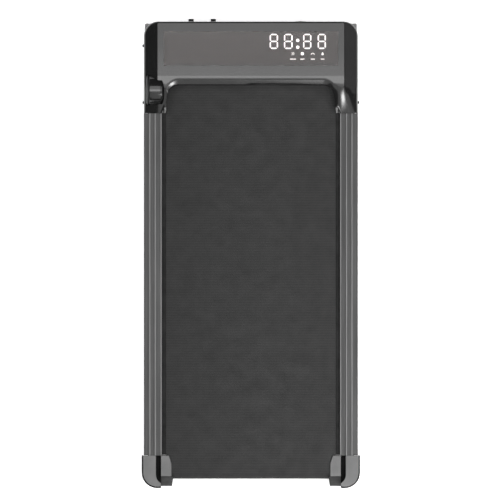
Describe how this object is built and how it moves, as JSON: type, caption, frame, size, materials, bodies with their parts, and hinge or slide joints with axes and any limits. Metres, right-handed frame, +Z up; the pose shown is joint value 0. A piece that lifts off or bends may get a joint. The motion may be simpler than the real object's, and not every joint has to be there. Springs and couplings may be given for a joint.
{
  "type": "treadmill",
  "caption": "Flat under-desk walking treadmill: ridged side rails, woven running belt, low gloss motor hood with a smoked time display, rear end caps and front transport wheels.",
  "frame": {"origin": "centre of the footprint, on the floor under the feet", "axes": "+X to the right seen from the user facing the display, +Y forwards towards the motor hood, +Z up"},
  "size_m": [0.5146, 1.1066, 0.1175],
  "materials": {
    "gloss_black": "high gloss",
    "smoked_lens": "polished, smoked",
    "matte_black": "fine texture",
    "cap_grey": "satin",
    "rail_grey": "satin, ridged tread",
    "frame_black": "powder coat",
    "plated_steel": "zinc plated",
    "side_screw_black": "black oxide",
    "belt_black": "woven pattern",
    "rubber_black": "matt",
    "deck_laminate": "smooth black laminate",
    "circuit_board": "solder resist",
    "bare_aluminium": "machined",
    "wheel_grey": "moulded"
  },
  "bodies": {
    "chassis": {"motor_hood": "gloss_black", "display_lens": "smoked_lens", "belly_pan": "matte_black", "rocker_switch_body": "matte_black", "power_inlet": "matte_black", "left_end_cap": "cap_grey", "right_end_cap": "cap_grey", "left_side_rail": "rail_grey", "right_side_rail": "rail_grey", "left_frame_tube": "frame_black", "right_frame_tube": "frame_black", "front_cross_tube": "frame_black", "rear_cross_tube": "frame_black", "left_wheel_bracket": "frame_black", "right_wheel_bracket": "frame_black", "motor_tray": "frame_black", "front_left_shaft_block": "frame_black", "front_right_shaft_block": "frame_black", "rear_left_shaft_block": "frame_black", "rear_right_shaft_block": "frame_black", "motor_housing": "frame_black", "front_roller_shaft": "plated_steel", "rear_roller_shaft": "plated_steel", "left_tension_bolt": "plated_steel", "right_tension_bolt": "plated_steel", "left_wheel_axle": "plated_steel", "right_wheel_axle": "plated_steel", "control_roller_pin": "plated_steel", "left_front_side_screw": "side_screw_black", "left_rear_side_screw": "side_screw_black", "right_rear_side_screw": "side_screw_black", "running_belt": "belt_black", "drive_belt": "rubber_black", "front_left_foot": "rubber_black", "front_right_foot": "rubber_black", "rear_left_foot": "rubber_black", "rear_right_foot": "rubber_black", "front_left_deck_cushion": "rubber_black", "front_right_deck_cushion": "rubber_black", "rear_left_deck_cushion": "rubber_black", "rear_right_deck_cushion": "rubber_black", "deck_board": "deck_laminate", "controller_board": "circuit_board", "display_board": "circuit_board", "controller_heat_sink": "bare_aluminium"},
    "front_roller": {"front_roller_drum": "plated_steel", "drive_pulley": "bare_aluminium", "front_left_bearing": "plated_steel", "front_right_bearing": "plated_steel"},
    "rear_roller": {"rear_roller_drum": "plated_steel", "rear_left_bearing": "plated_steel", "rear_right_bearing": "plated_steel"},
    "motor_spindle": {"motor_rotor": "plated_steel", "motor_pulley": "bare_aluminium"},
    "left_wheel": {"left_transport_wheel": "wheel_grey"},
    "right_wheel": {"right_transport_wheel": "wheel_grey"},
    "switch_rocker": {"rocker_paddle": "matte_black"},
    "power_plunger": {"power_button": "matte_black"},
    "reset_plunger": {"reset_button": "matte_black"},
    "control_barrel": {"control_roller": "gloss_black"}
  },
  "joints": [
    {"name": "front_roller_spin", "type": "hinge", "parent": "chassis", "child": "front_roller", "pos_m": [0, 0.432, 0.0471], "axis": [1, 0, 0], "continuous": true},
    {"name": "rear_roller_spin", "type": "hinge", "parent": "chassis", "child": "rear_roller", "pos_m": [0, -0.5127, 0.0471], "axis": [1, 0, 0], "continuous": true},
    {"name": "motor_spin", "type": "hinge", "parent": "chassis", "child": "motor_spindle", "pos_m": [0, 0.497, 0.062], "axis": [1, 0, 0], "continuous": true},
    {"name": "left_wheel_spin", "type": "hinge", "parent": "chassis", "child": "left_wheel", "pos_m": [-0.2405, 0.5182, 0.027], "axis": [1, 0, 0], "continuous": true},
    {"name": "right_wheel_spin", "type": "hinge", "parent": "chassis", "child": "right_wheel", "pos_m": [0.2405, 0.5182, 0.027], "axis": [1, 0, 0], "continuous": true},
    {"name": "rocker_switch_tilt", "type": "hinge", "parent": "chassis", "child": "switch_rocker", "pos_m": [0.1166, 0.5427, 0.062], "axis": [1, 0, 0], "range_deg": [0, 12]},
    {"name": "power_button_press", "type": "slide", "parent": "chassis", "child": "power_plunger", "axis": [0, -1, 0], "range_m": [0, 0.003], "stiffness_N_per_m": 400, "springref_m": -0.0005},
    {"name": "reset_button_press", "type": "slide", "parent": "chassis", "child": "reset_plunger", "axis": [0, -1, 0], "range_m": [0, 0.003], "stiffness_N_per_m": 400, "springref_m": -0.0005},
    {"name": "control_roller_spin", "type": "hinge", "parent": "chassis", "child": "control_barrel", "pos_m": [-0.22425, 0.3864, 0.081], "axis": [1, 0, 0], "continuous": true}
  ],
  "couplings": [
    {"joint": "rear_roller_spin", "follows": "front_roller_spin", "ratio": 1},
    {"joint": "motor_spin", "follows": "front_roller_spin", "ratio": 2.4}
  ]
}
